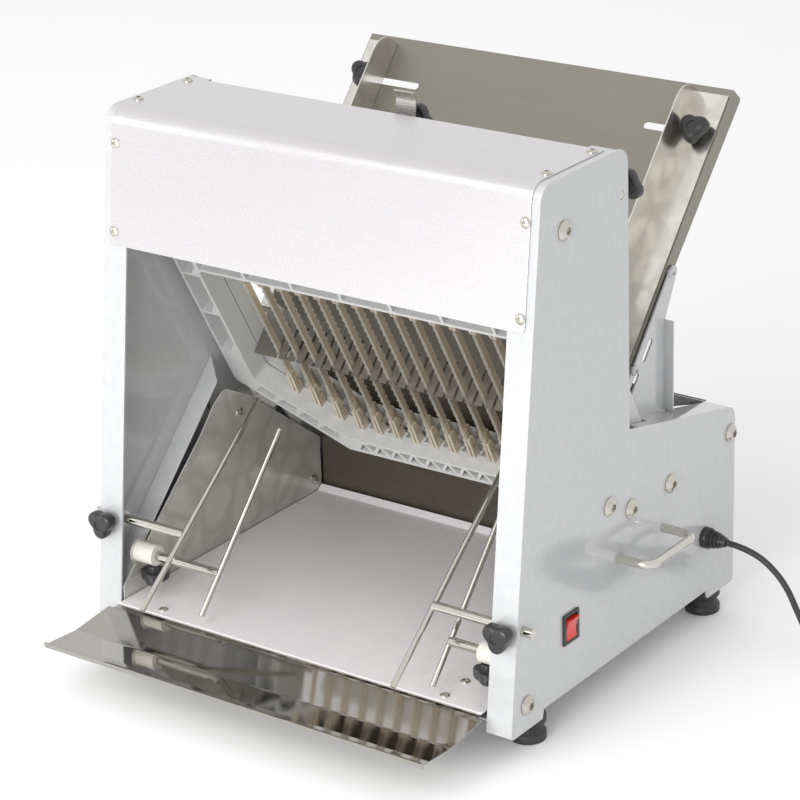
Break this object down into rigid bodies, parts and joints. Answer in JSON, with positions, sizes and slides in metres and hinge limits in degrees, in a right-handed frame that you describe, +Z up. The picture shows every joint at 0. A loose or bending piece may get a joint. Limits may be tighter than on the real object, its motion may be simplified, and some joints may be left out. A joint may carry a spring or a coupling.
{
  "type": "commercial bread slicer",
  "caption": "Bench bread slicer: a sloping rear chute feeds a loaf through two reciprocating blade frames on to a pull-out front tray.",
  "frame": {"origin": "on the bench, under the middle of the machine without its power cord", "axes": "+X to the machine's right seen from the front, -Y to the front, where the slices come out, +Z up"},
  "size_m": [0.7947, 0.6034, 0.584],
  "materials": {
    "white_paint": "gloss white powder coat",
    "cover_steel": "satin stainless sheet, pale",
    "stainless": "brushed stainless sheet",
    "film_steel": "bright stainless under clear film",
    "mirror_steel": "polished stainless",
    "floor_steel": "fine brushed stainless",
    "guard_grey": "grey coated sheet under film",
    "dark_grey": "dark grey coated sheet",
    "brown_sheet": "dark sheet in shade",
    "cast_alloy": "fettled light alloy casting",
    "blade_steel": "oiled spring steel with ground edge",
    "hook_steel": "brown passivated steel",
    "rod_steel": "bright drawn stainless bar",
    "fastener_steel": "bright zinc plated",
    "machined_steel": "machined steel",
    "motor_grey": "grey motor enamel",
    "black_plastic": "moulded black",
    "nylon": "natural nylon",
    "red_plastic": "red rocker",
    "black_rubber": "moulded black rubber"
  },
  "bodies": {
    "machine": {"left_side_panel": "white_paint", "right_side_panel": "white_paint", "top_cover": "cover_steel", "panel_fasteners": "fastener_steel", "rear_cover": "white_paint", "housing_lid": "dark_grey", "base_plate": "white_paint", "inner_bulkhead": "brown_sheet", "side_guards": "guard_grey", "guard_rails": "white_paint", "tray_runners": "stainless", "chute": "stainless", "chute_supports": "white_paint", "rubber_feet": "black_rubber", "lifting_handles": "rod_steel", "frame_guide_blocks": "nylon", "clamp_bosses": "nylon", "switch_housing": "black_plastic", "motor": "motor_grey", "motor_bracket": "machined_steel", "shaft_bearings": "cast_alloy", "drive_belt": "black_rubber", "cable_gland": "black_plastic", "power_cord": "black_rubber", "cord_coil": "black_rubber", "plug": "black_plastic"},
    "crank": {"crankshaft": "machined_steel", "main_pulley": "machined_steel"},
    "motor_rotor": {"motor_pulley": "machined_steel"},
    "front_frame": {"front_blade_frame": "cast_alloy", "front_blades": "blade_steel", "front_hooks": "hook_steel"},
    "rear_frame": {"rear_blade_frame": "cast_alloy", "rear_blades": "blade_steel", "rear_hooks": "hook_steel"},
    "hold_down": {"hold_down_shaft": "rod_steel", "hold_down_plate": "stainless"},
    "centre_knob": {"flap_centre_knob": "black_plastic"},
    "tray": {"floor_plate": "floor_steel", "discharge_tray": "mirror_steel", "tray_screws": "fastener_steel"},
    "rocker": {"switch_rocker": "red_plastic"},
    "left_front_rod": {"left_front_connecting_rod": "cast_alloy"},
    "left_rear_rod": {"left_rear_connecting_rod": "cast_alloy"},
    "left_guide": {"left_loaf_guide": "film_steel"},
    "left_guide_clamp": {"left_guide_knob": "black_plastic"},
    "left_flap_clamp": {"left_flap_knob": "black_plastic"},
    "left_upper_fence_slider": {"left_upper_fence": "rod_steel"},
    "left_upper_fence_clamp": {"left_upper_fence_knob": "black_plastic"},
    "left_lower_fence_slider": {"left_lower_fence": "rod_steel"},
    "left_lower_fence_clamp": {"left_lower_fence_knob": "black_plastic"},
    "right_front_rod": {"right_front_connecting_rod": "cast_alloy"},
    "right_rear_rod": {"right_rear_connecting_rod": "cast_alloy"},
    "right_guide": {"right_loaf_guide": "film_steel"},
    "right_guide_clamp": {"right_guide_knob": "black_plastic"},
    "right_flap_clamp": {"right_flap_knob": "black_plastic"},
    "right_upper_fence_slider": {"right_upper_fence": "rod_steel"},
    "right_upper_fence_clamp": {"right_upper_fence_knob": "black_plastic"},
    "right_lower_fence_slider": {"right_lower_fence": "rod_steel"},
    "right_lower_fence_clamp": {"right_lower_fence_knob": "black_plastic"}
  },
  "joints": [
    {"name": "crank_spin", "type": "hinge", "parent": "machine", "child": "crank", "pos_m": [0, 0.2, 0.08], "axis": [1, 0, 0], "continuous": true},
    {"name": "motor_spin", "type": "hinge", "parent": "machine", "child": "motor_rotor", "pos_m": [0, 0.184, 0.176], "axis": [1, 0, 0], "continuous": true},
    {"name": "front_frame_stroke", "type": "slide", "parent": "machine", "child": "front_frame", "axis": [0, 0.4848, -0.8746], "range_m": [-0.009, 0.009]},
    {"name": "rear_frame_stroke", "type": "slide", "parent": "machine", "child": "rear_frame", "axis": [0, 0.4848, -0.8746], "range_m": [-0.009, 0.009]},
    {"name": "hold_down_swing", "type": "hinge", "parent": "machine", "child": "hold_down", "pos_m": [0, 0.016, 0.5217], "axis": [1, 0, 0], "range_deg": [0, 26]},
    {"name": "centre_knob_turn", "type": "hinge", "parent": "hold_down", "child": "centre_knob", "pos_m": [0.005, 0.04, 0.551], "axis": [0, 1, 0], "range_deg": [0, 270]},
    {"name": "tray_slide", "type": "slide", "parent": "machine", "child": "tray", "axis": [0, -1, 0], "range_m": [0, 0.25]},
    {"name": "rocker_tip", "type": "hinge", "parent": "machine", "child": "rocker", "pos_m": [0.256, -0.08, 0.1095], "axis": [0, 1, 0], "range_deg": [-16, 0]},
    {"name": "left_front_rod_turn", "type": "hinge", "parent": "crank", "child": "left_front_rod", "pos_m": [0, 0.19213, 0.07564], "axis": [1, 0, 0], "continuous": true},
    {"name": "left_rear_rod_turn", "type": "hinge", "parent": "crank", "child": "left_rear_rod", "pos_m": [0, 0.20787, 0.08436], "axis": [1, 0, 0], "continuous": true},
    {"name": "left_guide_slide", "type": "slide", "parent": "machine", "child": "left_guide", "axis": [1, 0, 0], "range_m": [0, 0.05]},
    {"name": "left_guide_knob_turn", "type": "hinge", "parent": "left_guide", "child": "left_guide_clamp", "pos_m": [-0.207, 0.24973, 0.5135], "axis": [0, -0.7547, 0.6561], "range_deg": [0, 270]},
    {"name": "left_flap_knob_turn", "type": "hinge", "parent": "machine", "child": "left_flap_clamp", "pos_m": [-0.248, 0.04, 0.5217], "axis": [0, 1, 0], "range_deg": [0, 270]},
    {"name": "left_upper_fence_slide", "type": "slide", "parent": "machine", "child": "left_upper_fence_slider", "axis": [1, 0, 0], "range_m": [-0.06, 0.02]},
    {"name": "left_upper_fence_knob_turn", "type": "hinge", "parent": "machine", "child": "left_upper_fence_clamp", "pos_m": [-0.246, -0.18, 0.1385], "axis": [0, -1, 0], "range_deg": [0, 270]},
    {"name": "left_lower_fence_slide", "type": "slide", "parent": "machine", "child": "left_lower_fence_slider", "axis": [1, 0, 0], "range_m": [-0.044, 0]},
    {"name": "left_lower_fence_knob_turn", "type": "hinge", "parent": "machine", "child": "left_lower_fence_clamp", "pos_m": [-0.21, -0.15, 0.08], "axis": [0, 0, -1], "range_deg": [0, 270]},
    {"name": "right_front_rod_turn", "type": "hinge", "parent": "crank", "child": "right_front_rod", "pos_m": [0, 0.19213, 0.07564], "axis": [1, 0, 0], "continuous": true},
    {"name": "right_rear_rod_turn", "type": "hinge", "parent": "crank", "child": "right_rear_rod", "pos_m": [0, 0.20787, 0.08436], "axis": [1, 0, 0], "continuous": true},
    {"name": "right_guide_slide", "type": "slide", "parent": "machine", "child": "right_guide", "axis": [1, 0, 0], "range_m": [-0.05, 0]},
    {"name": "right_guide_knob_turn", "type": "hinge", "parent": "right_guide", "child": "right_guide_clamp", "pos_m": [0.207, 0.24973, 0.5135], "axis": [0, -0.7547, 0.6561], "range_deg": [0, 270]},
    {"name": "right_flap_knob_turn", "type": "hinge", "parent": "machine", "child": "right_flap_clamp", "pos_m": [0.248, 0.04, 0.5217], "axis": [0, 1, 0], "range_deg": [0, 270]},
    {"name": "right_upper_fence_slide", "type": "slide", "parent": "machine", "child": "right_upper_fence_slider", "axis": [1, 0, 0], "range_m": [-0.02, 0.06]},
    {"name": "right_upper_fence_knob_turn", "type": "hinge", "parent": "machine", "child": "right_upper_fence_clamp", "pos_m": [0.246, -0.18, 0.1385], "axis": [0, -1, 0], "range_deg": [0, 270]},
    {"name": "right_lower_fence_slide", "type": "slide", "parent": "machine", "child": "right_lower_fence_slider", "axis": [1, 0, 0], "range_m": [-0.044, 0]},
    {"name": "right_lower_fence_knob_turn", "type": "hinge", "parent": "machine", "child": "right_lower_fence_clamp", "pos_m": [0.21, -0.15, 0.08], "axis": [0, 0, -1], "range_deg": [0, 270]}
  ],
  "couplings": [
    {"joint": "motor_spin", "follows": "crank_spin", "ratio": 1.8966},
    {"joint": "rear_frame_stroke", "follows": "front_frame_stroke", "ratio": -1},
    {"joint": "left_front_rod_turn", "follows": "crank_spin", "ratio": -1},
    {"joint": "left_rear_rod_turn", "follows": "crank_spin", "ratio": -1},
    {"joint": "right_front_rod_turn", "follows": "crank_spin", "ratio": -1},
    {"joint": "right_rear_rod_turn", "follows": "crank_spin", "ratio": -1}
  ]
}
